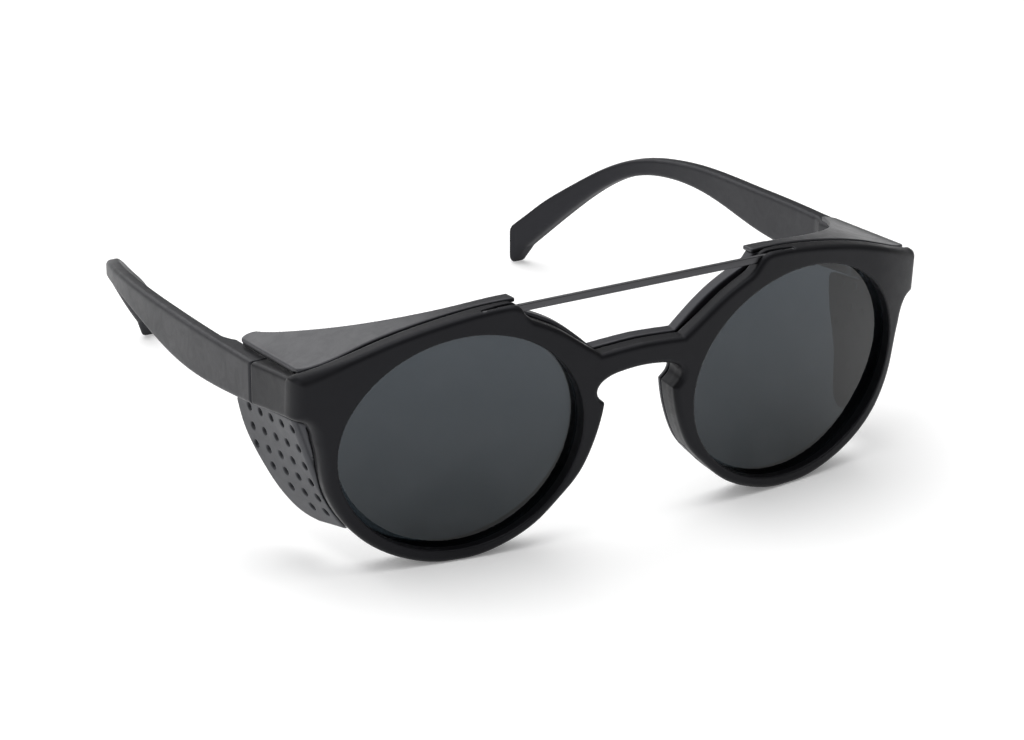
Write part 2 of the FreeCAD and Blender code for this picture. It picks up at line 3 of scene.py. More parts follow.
import bpy
import numpy as np
from mathutils import Matrix, Vector


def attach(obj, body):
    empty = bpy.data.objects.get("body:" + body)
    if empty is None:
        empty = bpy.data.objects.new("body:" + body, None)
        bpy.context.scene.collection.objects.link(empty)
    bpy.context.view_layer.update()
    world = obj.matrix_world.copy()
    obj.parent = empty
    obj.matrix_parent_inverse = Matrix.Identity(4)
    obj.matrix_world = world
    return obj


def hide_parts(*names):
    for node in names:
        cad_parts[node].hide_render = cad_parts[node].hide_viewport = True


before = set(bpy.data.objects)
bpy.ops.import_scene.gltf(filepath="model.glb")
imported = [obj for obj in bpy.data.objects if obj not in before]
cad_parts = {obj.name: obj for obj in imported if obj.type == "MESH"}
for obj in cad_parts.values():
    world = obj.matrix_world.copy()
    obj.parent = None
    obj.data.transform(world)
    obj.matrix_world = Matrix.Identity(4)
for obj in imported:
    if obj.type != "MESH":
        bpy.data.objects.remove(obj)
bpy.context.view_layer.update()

MM = 0.001
# the CAD frame's Y is the design frame's Y less this, in millimetres
MID_Y = 64.0


# ---------------------------------------------------------------- materials

def new_material(name, color, rough):
    """A principled material with its colour and roughness set, and its nodes and links."""
    mat = bpy.data.materials.new(name)
    mat.use_nodes = True
    nodes = mat.node_tree.nodes
    bsdf = nodes["Principled BSDF"]
    bsdf.inputs["Base Color"].default_value = (*color, 1)
    bsdf.inputs["Roughness"].default_value = rough
    return mat, nodes, mat.node_tree.links, bsdf


def noise(nodes, links, coord, scale, detail=4.0, rough=0.55, distortion=0.0):
    """The value of a noise texture at a coordinate."""
    tex = nodes.new("ShaderNodeTexNoise")
    tex.inputs["Scale"].default_value = scale
    tex.inputs["Detail"].default_value = detail
    tex.inputs["Roughness"].default_value = rough
    tex.inputs["Distortion"].default_value = distortion
    links.new(coord, tex.inputs["Vector"])
    return tex.outputs["Fac"]


def ramp(nodes, links, value, stops):
    """A colour ramp; stops are (position, grey or colour)."""
    node = nodes.new("ShaderNodeValToRGB")
    elements = node.color_ramp.elements
    while len(elements) < len(stops):
        elements.new(0.5)
    for element, (position, color) in zip(elements, stops):
        element.position = position
        color = (color,) * 3 if isinstance(color, float) else color
        element.color = (*color, 1)
    links.new(value, node.inputs["Fac"])
    return node.outputs["Color"]


def mixed(nodes, links, kind, fac, a, b):
    """A colour mix; a and b are sockets or colours, fac a socket or a number."""
    node = nodes.new("ShaderNodeMix")
    node.data_type = "RGBA"
    node.blend_type = kind
    for socket, value in ((node.inputs[0], fac), (node.inputs[6], a), (node.inputs[7], b)):
        if isinstance(value, bpy.types.NodeSocket):
            links.new(value, socket)
        else:
            socket.default_value = value if isinstance(value, float) else (*value, 1)
    return node.outputs[2]


def bump(nodes, links, bsdf, heights):
    """A chain of bump nodes; heights are (socket, strength, distance)."""
    normal = None
    for height, strength, distance in heights:
        node = nodes.new("ShaderNodeBump")
        node.inputs["Strength"].default_value = strength
        node.inputs["Distance"].default_value = distance
        links.new(height, node.inputs["Height"])
        if normal:
            links.new(normal, node.inputs["Normal"])
        normal = node.outputs["Normal"]
    links.new(normal, bsdf.inputs["Normal"])


def plastic(name, dark, light, rough, grain=0.12, grain_scale=9000.0, sheen=0.3):
    """Moulded plastic: fine grain, faint cloudy tone, and handling marks in its gloss."""
    mat, nodes, links, bsdf = new_material(name, dark, rough)
    coord = nodes.new("ShaderNodeTexCoord").outputs["Object"]
    cloud = noise(nodes, links, coord, 55.0, 5.0)
    fine = noise(nodes, links, coord, grain_scale, 2.0)
    smear = noise(nodes, links, coord, 220.0, 6.0, 0.7, 1.5)
    base = mixed(nodes, links, "MIX", ramp(nodes, links, cloud, [(0.3, 0.0), (0.7, 1.0)]), dark, light)
    links.new(base, bsdf.inputs["Base Color"])
    tone = ramp(nodes, links, smear, [(0.3, rough - 0.05), (0.75, rough + 0.07)])
    links.new(tone, bsdf.inputs["Roughness"])
    bsdf.inputs["Specular IOR Level"].default_value = sheen
    bsdf.inputs["Specular Tint"].default_value = (0.9, 0.91, 1.0, 1)
    bump(nodes, links, bsdf, [(fine, grain, 0.00003), (cloud, 0.05, 0.0002)])
    return mat


def metal(name, color, rough, stretch=(1.0, 1.0, 1.0), coat=0.0):
    """Brushed or coated metal with fine lines along one direction."""
    mat, nodes, links, bsdf = new_material(name, color, rough)
    bsdf.inputs["Metallic"].default_value = 1.0
    bsdf.inputs["Coat Weight"].default_value = coat
    bsdf.inputs["Coat Roughness"].default_value = 0.25
    mapping = nodes.new("ShaderNodeMapping")
    mapping.inputs["Scale"].default_value = stretch
    links.new(nodes.new("ShaderNodeTexCoord").outputs["Object"], mapping.inputs["Vector"])
    coord = mapping.outputs["Vector"]
    lines = noise(nodes, links, coord, 2500.0, 3.0)
    spots = noise(nodes, links, coord, 300.0, 5.0, 0.65)
    links.new(ramp(nodes, links, lines, [(0.2, rough - 0.06), (0.8, rough + 0.1)]), bsdf.inputs["Roughness"])
    dim = tuple(0.75 * c for c in color)
    tone = mixed(nodes, links, "MIX", ramp(nodes, links, spots, [(0.35, 0.0), (0.7, 1.0)]), color, dim)
    links.new(tone, bsdf.inputs["Base Color"])
    bump(nodes, links, bsdf, [(lines, 0.15, 0.00002)])
    return mat


FRONT = plastic("front_plastic", (0.004, 0.004, 0.0046), (0.006, 0.006, 0.007), 0.4, sheen=0.17)
TEMPLE = plastic("temple_plastic", (0.006, 0.006, 0.007), (0.009, 0.009, 0.0105), 0.44, sheen=0.3)
INSERT = plastic("insert_plastic", (0.012, 0.012, 0.014), (0.018, 0.018, 0.021), 0.4, 0.15, sheen=0.45)
SHIELD = plastic("shield_plastic", (0.011, 0.011, 0.0125), (0.016, 0.016, 0.018), 0.36, 0.18, sheen=0.42)
SIDE = plastic("side_shield_plastic", (0.038, 0.039, 0.042), (0.05, 0.051, 0.055), 0.5, 0.2, sheen=0.37)
BAR = metal("bar_metal", (0.07, 0.07, 0.075), 0.38, (0.05, 1.0, 1.0), 0.3)
STEEL = metal("steel", (0.5, 0.5, 0.5), 0.32, (0.1, 1.0, 1.0))


def lens_material():
    """Dark smoke lens that lets a little light through, with faint smears and dust."""
    mat, nodes, links, bsdf = new_material("lens_smoke", (0.03, 0.034, 0.038), 0.03)
    coord = nodes.new("ShaderNodeTexCoord").outputs["Object"]
    haze = noise(nodes, links, coord, 90.0, 4.0, 0.6, 0.8)
    # the tint is darker towards the bottom of the lens and lighter towards its top
    split = nodes.new("ShaderNodeSeparateXYZ")
    links.new(coord, split.inputs[0])
    height = nodes.new("ShaderNodeMapRange")
    height.inputs["From Min"].default_value = 0.004
    height.inputs["From Max"].default_value = 0.046
    links.new(split.outputs["Z"], height.inputs["Value"])
    tint = mixed(nodes, links, "MIX", height.outputs["Result"], (0.006, 0.009, 0.011), (0.026, 0.033, 0.040))
    tint = mixed(nodes, links, "MIX", ramp(nodes, links, haze, [(0.4, 0.0), (0.8, 0.2)]), tint,
                 (0.05, 0.056, 0.062))
    links.new(tint, bsdf.inputs["Base Color"])
    smear = noise(nodes, links, coord, 260.0, 7.0, 0.75, 2.0)
    links.new(ramp(nodes, links, smear, [(0.4, 0.0), (0.85, 0.035)]), bsdf.inputs["Roughness"])
    bsdf.inputs["IOR"].default_value = 1.42
    bsdf.inputs["Transmission Weight"].default_value = 1.0
    return mat


LENS = lens_material()
NODE_MATERIALS = {
    "front_frame": FRONT, "shield_insert": INSERT, "brow_bar": BAR, "brow_bar_pins": STEEL,
    "front_leaf_screws": STEEL,
}
for end in ("left", "right"):
    NODE_MATERIALS.update({
        "lens_" + end: LENS, "top_shield_" + end: SHIELD, "side_shield_" + end: SIDE,
        "temple_" + end: TEMPLE, "temple_core_" + end: STEEL, "hinge_screw_" + end: STEEL,
        "hinge_front_leaf_" + end: STEEL, "hinge_temple_leaf_" + end: STEEL,
        "temple_leaf_screws_" + end: STEEL,
    })


for name, mat in NODE_MATERIALS.items():
    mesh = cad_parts[name].data
    mesh.materials.clear()
    mesh.materials.append(mat)


# ---------------------------------------------------------------- smooth outlines

def smooth_line(points, start=None, end=None, step=0.4):
    """Points about a step apart on a cubic spline through the given ones, in millimetres.

    start and end are the directions at the two ends, which are left free if not given.
    """
    p = np.array(points, float)
    t = np.concatenate([[0], np.cumsum(np.hypot(*np.diff(p, axis=0).T))])
    n = len(t)
    h = np.diff(t)
    matrix, right = np.zeros((n, n)), np.zeros((n, 2))
    for i in range(1, n - 1):
        matrix[i, i - 1:i + 2] = h[i], 2 * (h[i - 1] + h[i]), h[i - 1]
        right[i] = 3 * (h[i - 1] * (p[i + 1] - p[i]) / h[i] + h[i] * (p[i] - p[i - 1]) / h[i - 1])
    for row, given, a, b in ((0, start, 0, 1), (n - 1, end, n - 1, n - 2)):
        if given:
            matrix[row, row] = 1
            right[row] = np.array(given) / np.hypot(*given)
        else:
            matrix[row, a], matrix[row, b] = 2, 1
            right[row] = 3 * (p[max(a, b)] - p[min(a, b)]) / h[min(a, b)]
    slope = np.linalg.solve(matrix, right)
    s = np.linspace(0, t[-1], max(int(t[-1] / step), 2) + 1)
    k = np.clip(np.searchsorted(t, s, side="right") - 1, 0, n - 2)
    w, u = h[k][:, None], ((s - t[k]) / h[k])[:, None]
    return ((2 * u ** 3 - 3 * u ** 2 + 1) * p[k] + (u ** 3 - 2 * u ** 2 + u) * w * slope[k]
            + (3 * u ** 2 - 2 * u ** 3) * p[k + 1] + (u ** 3 - u ** 2) * w * slope[k + 1])


def chain(*runs):
    """Runs of points joined into one closed outline, with repeated points dropped."""
    p = np.concatenate([np.array(r, float) for r in runs])
    keep = np.hypot(*(p - np.roll(p, 1, axis=0)).T) > 1e-6
    return p[keep]


def with_mirror(half):
    """A half outline from x = 0 round to x = 0, closed by its mirror image."""
    return chain(half, (half * (-1, 1))[::-1])


def distance(outline, u, v):
    """Signed distance to a closed outline in its plane, negative inside."""
    shape = np.broadcast(u, v).shape
    px, py = (np.broadcast_to(a, shape).ravel().astype(np.float32) for a in (u, v))
    a = outline.astype(np.float32)
    b = np.roll(a, -1, axis=0)
    best = np.full(px.shape, 1e9, np.float32)
    odd = np.zeros(px.shape, bool)
    for (ax, ay), (bx, by) in zip(a, b):
        dx, dy = bx - ax, by - ay
        qx, qy = px - ax, py - ay
        t = np.clip((qx * dx + qy * dy) / max(dx * dx + dy * dy, 1e-9), 0, 1)
        best = np.minimum(best, (qx - t * dx) ** 2 + (qy - t * dy) ** 2)
        if ay != by:
            odd ^= ((ay > py) != (by > py)) & (qx < dx * qy / dy)
    return (np.sqrt(best) * np.where(odd, -1, 1)).reshape(shape)


def both(a, b, r):
    """Where two solids overlap, with the edge between them rounded to radius r."""
    u, v = np.maximum(a + r, 0), np.maximum(b + r, 0)
    return np.minimum(-r, np.maximum(a, b)) + np.sqrt(u * u + v * v)


def either(a, b, r):
    """Two solids joined, with a fillet of radius r between them."""
    return -both(-a, -b, r)


# ---------------------------------------------------------------- a surface from a distance field

CORNERS = [(i, j, k) for i in (0, 1) for j in (0, 1) for k in (0, 1)]


def surface(field, axes):
    """Points and quads of the zero surface of a field sampled on a regular grid."""
    shape = field.shape
    inside = field < 0
    cells = tuple(n - 1 for n in shape)
    count = np.zeros(cells, np.uint8)
    for i, j, k in CORNERS:
        count += inside[i:i + cells[0], j:j + cells[1], k:k + cells[2]]
    at = np.array(np.nonzero((count > 0) & (count < 8)))
    number = np.full(cells, -1, np.int64)
    number[tuple(at)] = np.arange(at.shape[1])
    values = {c: field[at[0] + c[0], at[1] + c[1], at[2] + c[2]] for c in CORNERS}
    total, hits = np.zeros(at.shape), np.zeros(at.shape[1])
    for c in CORNERS:
        for axis in range(3):
            if c[axis]:
                continue
            d = tuple(v + (n == axis) for n, v in enumerate(c))
            crossed = (values[c] < 0) != (values[d] < 0)
            t = values[c] / np.where(crossed, values[c] - values[d], 1)
            for n in range(3):
                total[n] += crossed * (c[n] + (t if n == axis else 0))
            hits += crossed
    points = np.stack([ax[0] + (at[n] + total[n] / hits) * (ax[1] - ax[0]) for n, ax in enumerate(axes)], 1)
    quads = []
    for axis in range(3):
        one, two = [n for n in range(3) if n != axis]
        low = tuple(slice(0, shape[n] - 1) if n == axis else slice(1, shape[n] - 1) for n in range(3))
        high = tuple(slice(1, shape[n]) if n == axis else slice(1, shape[n] - 1) for n in range(3))
        a, b = inside[low], inside[high]
        edge = np.array(np.nonzero(a != b))
        begins = a[tuple(edge)]
        edge[one] += 1
        edge[two] += 1
        ring = []
        for du, dv in ((-1, -1), (0, -1), (0, 0), (-1, 0)):
            cell = edge.copy()
            cell[one] += du
            cell[two] += dv
            ring.append(number[tuple(cell)])
        quad = np.stack(ring, 1)
        turn = begins if axis != 1 else ~begins
        quad[~turn] = quad[~turn][:, ::-1]
        quads.append(quad)
    return points, np.concatenate(quads)


def mesh_piece(name, points, faces, mat, body, slot_name, node):
    """A mesh object in the CAD's frame, from design points in millimetres; it replaces a CAD node."""
    mesh = bpy.data.meshes.new(name)
    moved = (np.asarray(points, float) - (0, MID_Y, 0)) * MM
    mesh.vertices.add(len(moved))
    mesh.vertices.foreach_set("co", moved.astype(np.float32).ravel())
    faces = np.asarray(faces, np.int32)
    mesh.loops.add(faces.size)
    mesh.loops.foreach_set("vertex_index", faces.ravel())
    mesh.polygons.add(len(faces))
    mesh.polygons.foreach_set("loop_start", np.arange(0, faces.size, faces.shape[1], dtype=np.int32))
    mesh.polygons.foreach_set("loop_total", np.full(len(faces), faces.shape[1], np.int32))
    mesh.update(calc_edges=True)
    mesh.validate()
    mesh.polygons.foreach_set("use_smooth", np.full(len(mesh.polygons), True))
    mesh.materials.append(mat)
    obj = bpy.data.objects.new(name, mesh)
    bpy.context.scene.collection.objects.link(obj)
    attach(obj, body)
    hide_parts(node)


def grid(x, y, z, step):
    """Grid lines over a box given as three (low, high) pairs, with a margin of two steps."""
    return [np.arange(lo - 2 * step, hi + 3 * step, step, dtype=np.float32) for lo, hi in (x, y, z)]


def spread(axes):
    """The three grid lines as arrays that broadcast over the grid."""
    return axes[0][:, None, None], axes[1][None, :, None], axes[2][None, None, :]


def in_xz(outline, axes):
    """The distance to an outline in the XZ plane, broadcast along Y."""
    return distance(outline, axes[0][:, None], axes[2][None, :])[:, None, :]


def in_yz(outline, axes):
    """The distance to an outline in the YZ plane, broadcast along X."""
    return distance(outline, axes[1][:, None], axes[2][None, :])[None, :, :]


def in_xy(outline, axes):
    """The distance to an outline in the XY plane, broadcast along Z."""
    return distance(outline, axes[0][:, None], axes[1][None, :])[:, :, None]


# ---------------------------------------------------------------- the object's lines, in millimetres

# the +X lens: centre, half axes, depth behind the front surface, and the radii of its faces
LENS_X, LENS_Z = 37.3, 25.95
LENS_A, LENS_B = 24.8, 23.3
LENS_DEPTH, LENS_THICKNESS = 1.3, 1.5
LENS_RADIUS_ACROSS, LENS_RADIUS_UP = 130.0, 400.0
# how far the lens's edge goes into its groove
LENS_EDGE = 0.6
# the front surface: its middle arc, the tighter arcs beyond END_START, and its lean
FRONT_Y = -4.8
CENTRE_RADIUS, END_RADIUS, END_START = 290.0, 40.0, 56.0
END_X = END_START * (1 - END_RADIUS / CENTRE_RADIUS)
END_Y = CENTRE_RADIUS - (CENTRE_RADIUS - END_RADIUS) * math.cos(math.asin(END_START / CENTRE_RADIUS))
TILT = math.radians(5.5)
# depths behind the front surface: the band's rear, the core's rear and the insert's rear
BAND_DEPTH, FRAME_DEPTH, INSERT_DEPTH = 3.5, 5.9, 7.2
CORE_START = 1.9
# gaps from the band to the shields, from the core to the insert, and half of that at the seam
BAND_GAP, JOINT_GAP, SEAM_GAP = 0.8, 0.4, 0.075
SEAT_DEPTH = BAND_DEPTH + BAND_GAP
# the core's and the rim's widths round a lens, and how far out the rim's centre is from the lens's
CORE_WIDTH, RIM_WIDTH, RIM_SIDE_WIDTH, RIM_SHIFT = 1.38, 2.65, 2.25, 0.5
# half widths at the seam and at the front's outline, and the seam's Y
HALF_WIDTH, FRONT_HALF_WIDTH = 71.0, 70.0
SEAM_Y = 22.6
# the hinge's barrel, and the brow bar in its slot
HINGE_X, BARREL_Z, BARREL_HALF_HEIGHT, BARREL_ROOM = 65.9, 36.1, 3.7, 1.7
BAR_Y, BAR_Z, BAR_HALF_LENGTH, BAR_HALF_HEIGHT, BAR_HALF_THICKNESS = -4.3, 53.05, 34.5, 0.8, 0.4
SLOT_GAP = 0.03
# the insert: how far its outline stands outside the front's, and how much wider its windows are
INSERT_PROUD, WINDOW_GROWTH = 0.6, 0.3
# the shields: the top's thickness, fall to the rear and outer side, and the side's thickness
TOP_THICKNESS, TOP_FALL, TOP_SIDE_X = 1.0, 0.12, 68.1
SEAT_GAP = 0.02
PANEL_THICKNESS, PANEL_REAR_X = 1.15, 69.5
STEP = 0.25


def front_y(x, z):
    """Y of the front surface: a wide arc in plan, tighter at the ends, leaning forward at the top."""
    x = np.abs(x)
    middle = CENTRE_RADIUS - np.sqrt(CENTRE_RADIUS ** 2 - np.minimum(x, END_START) ** 2)
    outer = END_Y - np.sqrt(np.maximum(END_RADIUS ** 2 - (x - END_X) ** 2, 1))
    return FRONT_Y + np.where(x <= END_START, middle, outer) - (z - LENS_Z) * math.tan(TILT)


def slant(x):
    """How much longer a step along Y is than one square to the front surface."""
    x = np.abs(x)
    turned = np.arcsin(np.clip((x - END_X) / END_RADIUS, 0, 0.75))
    rise = np.where(x <= END_START, x / CENTRE_RADIUS, np.tan(turned))
    return np.sqrt(1 + rise ** 2 + math.tan(TILT) ** 2).astype(np.float32)


def rim_point(angle):
    """A point on the rim's outer edge, at an angle in degrees from its lowest point outward."""
    a = math.radians(angle)
    return (LENS_X + RIM_SHIFT + (LENS_A + RIM_SIDE_WIDTH) * math.sin(a),
            LENS_Z - (LENS_B + RIM_WIDTH) * math.cos(a))


# points (x, z) on the front's outline: the brow, and the rim's outer and nose sides
BROW = [(29.0, 54.35), (40.0, 53.15), (48.0, 51.4), (56.0, 48.9), (63.0, 46.0), (69.0, 43.5)]
RIM_SIDE = [(65.8, 29.0)] + [rim_point(a) for a in (75, 55, 38, 20)]
RIM_NOSE = [rim_point(a) for a in (-20, -38, -52)]
RIM_NOSE += [(12.5, 14.6), (10.0, 19.8), (8.3, 25.6), (7.7, 29.3)]
STEP_X, STEP_Z = 23.2, 49.9


def front_outline(proud=0.0):
    """The front seen square on; proud lifts the rim's upper edge beside the bridge."""
    foot = (STEP_X, STEP_Z + proud)
    under = [(70.0, 34.9), (69.2, 34.0), (67.6, 33.5), (66.5, 32.0), RIM_SIDE[0]]
    notch = [RIM_NOSE[-1], (9.3, 31.2), (9.3, 32.9), (7.6, 34.6), (4.0, 35.6), (0, 35.9)]
    half = chain(
        smooth_line([(0, 41.0), (5.0, 40.75), (9.3, 40.4)]),
        smooth_line([(9.3, 40.4), (14.3 - proud / 2, 44.2 + proud), (18.8 - proud / 2, 47.5 + proud), foot]),
        smooth_line([foot, (25.6, 51.8), (26.9, 53.5), BROW[0]], (1, 0.45), (1, 0)),
        smooth_line(BROW, (1, 0), (1, -0.35)),
        [(FRONT_HALF_WIDTH, 42.8), under[0]],
        smooth_line(under, (0, -1), (-0.1, -1)),
        smooth_line(RIM_SIDE + [(39.4, 0)], (-0.3, -1), (-1, 0)),
        smooth_line([(36.2, 0)] + RIM_NOSE, (-1, 0), (-0.1, 1)),
        smooth_line(notch, (1, 1), (-1, 0)),
    )
    return with_mirror(half)


def lens_outline(grow=0.0):
    """The +X lens opening seen square on, made larger all round by grow."""
    t = np.linspace(0, 2 * math.pi, 240, endpoint=False)
    return np.stack([LENS_X + (LENS_A + grow) * np.cos(t), LENS_Z + (LENS_B + grow) * np.sin(t)], 1)


# half the outline of the front's stepped rear above the lenses
CORE_HEAD = [(0.0, 39.7), (9.0, 39.1), (14.0, 42.5), (18.0, 45.2), (22.8, 48.0), (26.9, 51.3),
             (29.0, 52.05), (40.0, 50.85), (48.0, 49.1), (56.0, 46.6), (61.9, 44.2), (61.9, 30.0),
             (14.0, 30.0), (9.2, 35.0), (7.2, 37.2), (0.0, 37.2)]


def lens_window(grow, axes):
    """The distance to both lens openings, made larger all round by grow."""
    return in_xz(lens_outline(grow), [np.abs(axes[0]), axes[1], axes[2]])


def barrel_room(x, y, z):
    """The space kept round the hinge's barrel."""
    return np.maximum(np.hypot(x - HINGE_X, y - SEAM_Y) - BARREL_ROOM,
                      np.abs(z - BARREL_Z) - BARREL_HALF_HEIGHT)


def brow_height(x):
    """Height of the brow's upper edge, carried inward past the step."""
    line = smooth_line([(STEP_X, BROW[0][1])] + BROW)
    return np.interp(np.abs(x), line[:, 0], line[:, 1]).astype(np.float32)


def core(axes):
    """The front's stepped rear in the XZ plane: a ring about each lens, and a head under the brow."""
    head = in_xz(with_mirror(np.array(CORE_HEAD)), axes)
    return np.minimum(head, lens_window(CORE_WIDTH, axes))


# the end piece: heights of its top and foot and the Y they are given at, their slopes to the
# rear, where it starts to widen, and the inner sides of its wall and of its corner
BLOCK_TOP, BLOCK_FOOT, BLOCK_Y = 42.6, 34.0, 8
TOP_SLOPE, FOOT_SLOPE = 0.14, 0.17
WIDEN_START = 4
WALL_X, CORNER_X = 66.7, 63.7
# the deeper stretch of the rims beside the nose
NOSE_X, NOSE_LOW, NOSE_HIGH = 13, 10, 38
# the radius of the front's edge, how much it grows towards the ends, and where it does
FRONT_EDGE, END_EDGE, END_EDGE_START, END_EDGE_RUN = 1.2, 0.9, 60, 8


def end_piece(x, y, z, near, depth, g):
    """The block at each end of the front, hollow behind, that reaches back to the temple's seam."""
    top = (z - BLOCK_TOP + TOP_SLOPE * (y - BLOCK_Y)) / math.hypot(1, TOP_SLOPE)
    foot = (BLOCK_FOOT - FOOT_SLOPE * (y - BLOCK_Y) - z) / math.hypot(1, FOOT_SLOPE)
    widen = (HALF_WIDTH - FRONT_HALF_WIDTH) / (SEAM_Y - WIDEN_START) ** 2
    face = x - FRONT_HALF_WIDTH - widen * np.maximum(y - WIDEN_START, 0) ** 2
    outer = both(both(face, near, 3.0), both(top, foot, 0.3), 0.9)
    wall = both(WALL_X - x, y - (SEAM_Y - SEAM_GAP), 0.15)
    corner = both(CORNER_X - x, (depth - FRAME_DEPTH) / g, 0.3)
    inner = np.minimum(np.maximum(wall, BLOCK_Y - y), corner)
    return np.maximum(both(outer, inner, 0.25), (CORE_START - depth) / g)


def build_front():
    """The front: a band round both lenses, its stepped rear, the end pieces and the bar's slot."""
    axes = grid((-HALF_WIDTH, HALF_WIDTH), (-7, SEAM_Y), (0, 54.4), STEP)
    x, y, z = spread(axes)
    side = np.abs(x)
    depth = y - front_y(x, z)
    g = slant(x)
    near = -depth / g
    out = in_xz(front_outline(), axes)
    at_end = np.clip((side - END_EDGE_START) / END_EDGE_RUN, 0, 1)
    edge = (FRONT_EDGE + END_EDGE * at_end).astype(np.float32)
    band = both(both(out, near, edge), (depth - BAND_DEPTH) / g, 0.3)
    rear = np.maximum((depth - FRAME_DEPTH) / g, (CORE_START - depth) / g)
    body = either(band, both(core(axes), rear, 0.2), 0.05)
    stretch = np.maximum(side - NOSE_X, np.maximum(NOSE_LOW - z, z - NOSE_HIGH))
    body = either(body, both(both(out, stretch, 0.2), rear, 0.4), 0.05)
    body = either(body, end_piece(side, y, z, near, depth, g), 0.3)
    body = both(body, -lens_window(0, axes), 0.3)
    slot = np.maximum(side - BAR_HALF_LENGTH - SLOT_GAP, BAR_Z - BAR_HALF_HEIGHT - SLOT_GAP - z)
    slot = np.maximum(slot, np.abs(y - BAR_Y) - BAR_HALF_THICKNESS - SLOT_GAP)
    body = np.maximum(np.maximum(body, -slot), -barrel_room(side, y, z))
    points, faces = surface(body.astype(np.float32), axes)
    mesh_piece("front_moulding", points, faces, FRONT, "front", "front_plastic", "front_frame")


def shield_line():
    """The top shield's upper line above the brow, carried forward to Y = 0."""
    brow = [(24.0, 54.3)] + BROW[:5] + [(67.0, 44.45), (72.0, 43.6)]
    return smooth_line([(a, b + TOP_FALL * (float(front_y(a, b)) + SEAT_DEPTH)) for a, b in brow])


def shield_top(x, y):
    """Height of the top shield's upper face."""
    line = shield_line()
    return np.interp(x, line[:, 0], line[:, 1]) - TOP_FALL * y


# how far the insert reaches beside the end pieces, and the height its outline is cut down above
INSERT_END_X, INSERT_END_Z = 63.2, 32
# the room behind the front's core, and round the deeper stretch beside the nose
DEPTH_ROOM, NOSE_ROOM = 0.2, 0.4
# where the top shields begin beside the bridge
SHIELD_START_X = 26.3
# about how much of a step along Z is square to the brow's line
BROW_LEAN = 0.93


def build_insert():
    """The thin frame behind the front: a lip round the front's core, and a seat for the shields."""
    axes = grid((-67, 67), (-4, 13), (0, 53.4), STEP * 0.8)
    x, y, z = spread(axes)
    side = np.abs(x)
    depth = y - front_y(x, z)
    g = slant(x)
    below_brow = (z - brow_height(x) + TOP_THICKNESS + SEAT_GAP) * BROW_LEAN
    cap = np.where(side > STEP_X, below_brow, -9)
    end = np.where(z > INSERT_END_Z, side - INSERT_END_X, -9)
    out = both(both(in_xz(front_outline(INSERT_PROUD), axes), cap, 0.3), end, 0.1)
    lip = both(both(out, (SEAT_DEPTH - depth) / g, 0.3), (depth - INSERT_DEPTH) / g, 0.45)
    before = (depth - FRAME_DEPTH - DEPTH_ROOM) / g
    hollow = np.maximum(core(axes) - JOINT_GAP, before)
    nose = np.maximum(side - NOSE_X, np.maximum(NOSE_LOW - z, z - NOSE_HIGH)) - NOSE_ROOM
    body = np.maximum(np.maximum(lip, -hollow), -np.maximum(nose, before))
    body = both(body, -lens_window(WINDOW_GROWTH, axes), 0.25)
    under_shield = shield_top(side, y) - TOP_THICKNESS - SEAT_GAP - z
    body = np.maximum(body, -np.maximum(SHIELD_START_X - SEAT_GAP - side, under_shield))
    points, faces = surface(body.astype(np.float32), axes)
    mesh_piece("insert_moulding", points, faces, INSERT, "shields", "insert_plastic", "shield_insert")


def sided(name, points, faces, way, *rest):
    """Adds a piece as drawn for the +X side, or its mirror image for the other."""
    if way < 0:
        points = points * (-1, 1, 1)
        faces = faces[:, ::-1]
    mesh_piece(name, points, faces, *rest)


# the lip under the top shield's outer edge: its height, inner side and stretch along Y
SKIRT, SKIRT_X, SKIRT_START, SKIRT_END = 0.4, 67.2, 9.0, 32.0
# how much nearer the band the top shield comes at the end piece
CORNER_REACH = 0.7


def build_top_shield(end, way):
    """The shelf behind a brow, with a hollow rear edge and a low lip along its outer side."""
    axes = grid((25.5, 68.8), (-3, 35), (38.5, 55), STEP * 0.8)
    x, y, z = spread(axes)
    line = shield_line()
    top = shield_top(x, y)
    fall = np.interp(x, line[1:, 0], np.diff(line[:, 1]) / np.diff(line[:, 0]))
    g = np.sqrt(1 + fall ** 2 + TOP_FALL ** 2)
    sheet = both((z - top) / g, (top - TOP_THICKNESS - z) / g, 0.3)
    seat = [(a, float(front_y(a, b)) + SEAT_DEPTH) for a, b in [(SHIELD_START_X, 54.0)] + BROW[:4]]
    seat += [(a, float(front_y(a, b)) + SEAT_DEPTH - CORNER_REACH) for a, b in [BROW[4], (66.0, 44.6)]]
    rear = [(64.6, 32.8), (61.0, 24.8), (54.5, 14.6), (46.0, 6.6), (36.0, 2.2), (SHIELD_START_X, 1.6)]
    tip = (66.3, 34.0)
    plan = chain(
        smooth_line(seat),
        smooth_line([seat[-1], (TOP_SIDE_X, seat[-1][1] + 2.2)], (1, 0.5), (0, 1)),
        smooth_line([(TOP_SIDE_X, 32.5), tip], (0, 1), (-1, 0)),
        smooth_line([tip, rear[0]], (-1, 0), (-0.3, -1)),
        smooth_line(rear, (-0.3, -1), (-1, 0)),
    )
    body = both(sheet, in_xy(plan, axes), 0.35)
    skirt = both(np.maximum(x - TOP_SIDE_X, SKIRT_X - x),
                 np.maximum(top - TOP_THICKNESS - SKIRT - z, z - top + TOP_THICKNESS / 2), 0.25)
    body = either(body, np.maximum(skirt, np.maximum(SKIRT_START - y, y - SKIRT_END)), 0.2)
    points, faces = surface(body.astype(np.float32), axes)
    sided("top_shield_moulding_" + end, points, faces, way, SHIELD, "shields", "shield_plastic",
          "top_shield_" + end)


# the panel's straight lines run from PANEL_Y back over PANEL_RUN to PANEL_REAR_X
PANEL_Y, PANEL_RUN = 4, 46
HOLE_RADIUS, HOLE_PITCH, HOLE_FALL, FIRST_HOLE_Y = 0.85, 4.8, 0.14, 9.9
